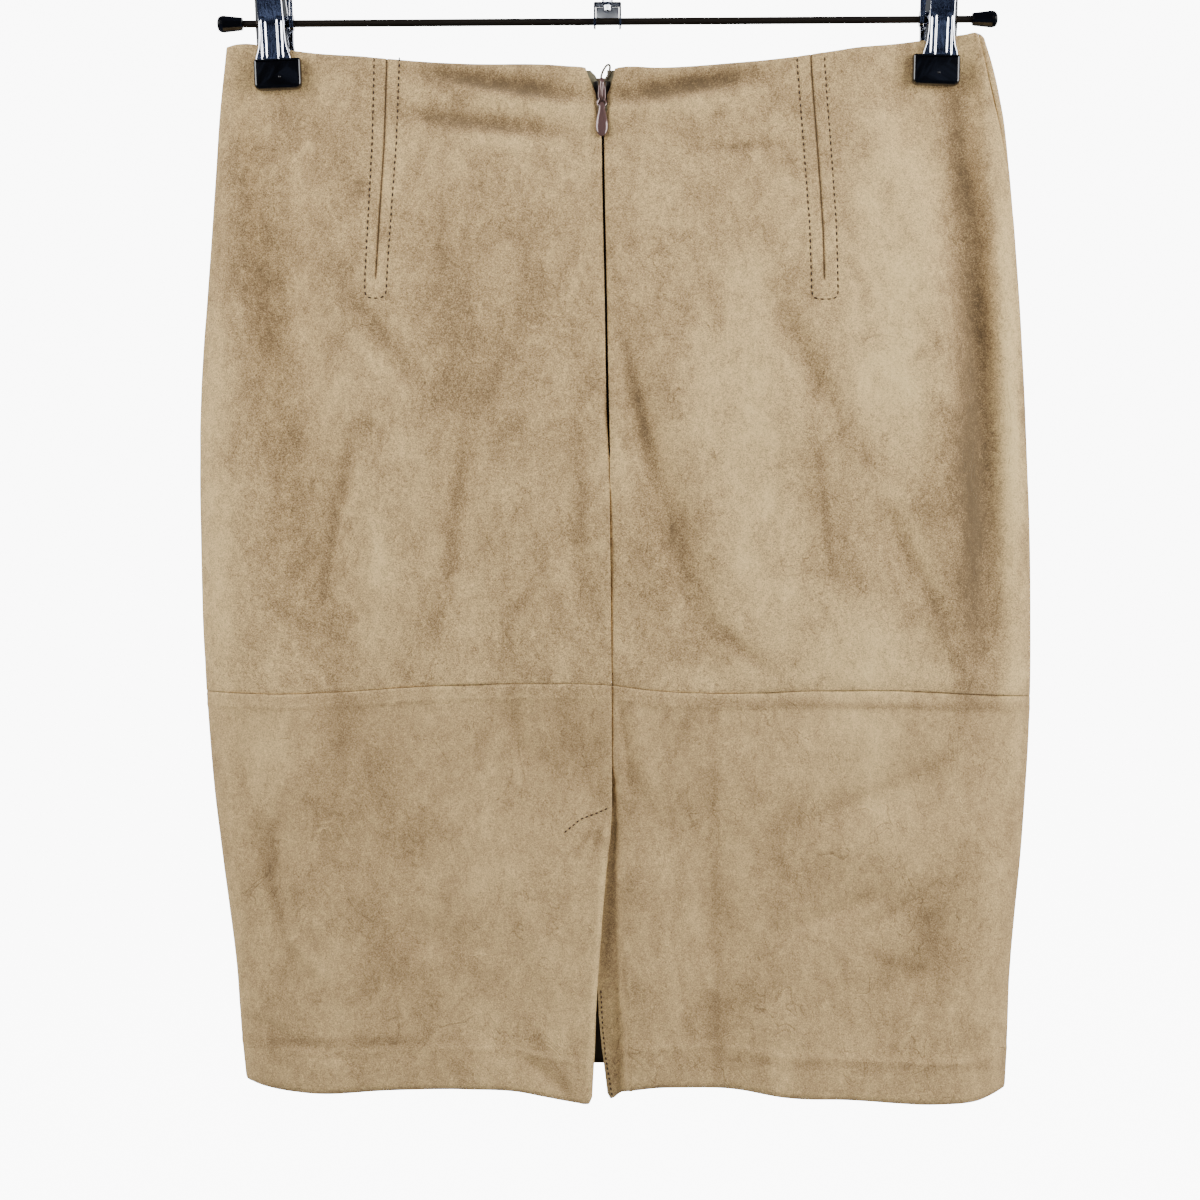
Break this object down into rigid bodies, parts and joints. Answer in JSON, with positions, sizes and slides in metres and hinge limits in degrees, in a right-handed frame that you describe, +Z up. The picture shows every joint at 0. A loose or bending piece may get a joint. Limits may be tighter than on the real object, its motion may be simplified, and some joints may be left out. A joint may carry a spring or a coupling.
{
  "type": "leather skirt on a clip hanger",
  "caption": "Tan suede pencil skirt with a back zip and back vent, hanging by its waist from a metal clip hanger; an open tube whose zip pull swings.",
  "frame": {"origin": "the point where the inside top of the hanger's hook bears on a rod, midway across the hook wire", "axes": "the skirt's back, which has the zip and the vent, faces -Y; +X is to the right as the back is seen; +Z is up along the hook's stem"},
  "size_m": [0.456, 0.0582, 0.667],
  "materials": {
    "tan_suede": "matt napped suede",
    "zip_tape": "woven grey-green tape",
    "mauve_enamel": "glossy mauve enamel",
    "steel_wire": "dull nickel-plated wire",
    "black_vinyl": "glossy black dipped vinyl",
    "bronze_lacquer": "dark bronze lacquer",
    "chrome": "bright chrome plate"
  },
  "bodies": {
    "skirt_on_hanger": {"back_lower_left": "tan_suede", "back_lower_right": "tan_suede", "back_upper_left": "tan_suede", "back_upper_right": "tan_suede", "bar_cap_left": "black_vinyl", "bar_cap_right": "black_vinyl", "clip_left_back_jaw": "black_vinyl", "clip_left_back_plate": "chrome", "clip_left_front_jaw": "black_vinyl", "clip_left_front_plate": "chrome", "clip_left_spring": "chrome", "clip_right_back_jaw": "black_vinyl", "clip_right_back_plate": "chrome", "clip_right_front_jaw": "black_vinyl", "clip_right_front_plate": "chrome", "clip_right_spring": "chrome", "front_lower": "tan_suede", "front_upper": "tan_suede", "hanger_bar": "bronze_lacquer", "hanger_bracket": "chrome", "hanger_hook": "chrome", "waist_eye": "steel_wire", "zip_chain": "zip_tape", "zip_slider": "mauve_enamel", "zip_tape_left": "zip_tape", "zip_tape_right": "zip_tape"},
    "zip_pull": {"zip_pull": "mauve_enamel"}
  },
  "joints": [
    {"name": "pull_swing", "type": "hinge", "parent": "skirt_on_hanger", "child": "zip_pull", "pos_m": [-0.0031, -0.01149, -0.1156], "axis": [-1, 0, 0], "range_deg": [0, 126]}
  ]
}
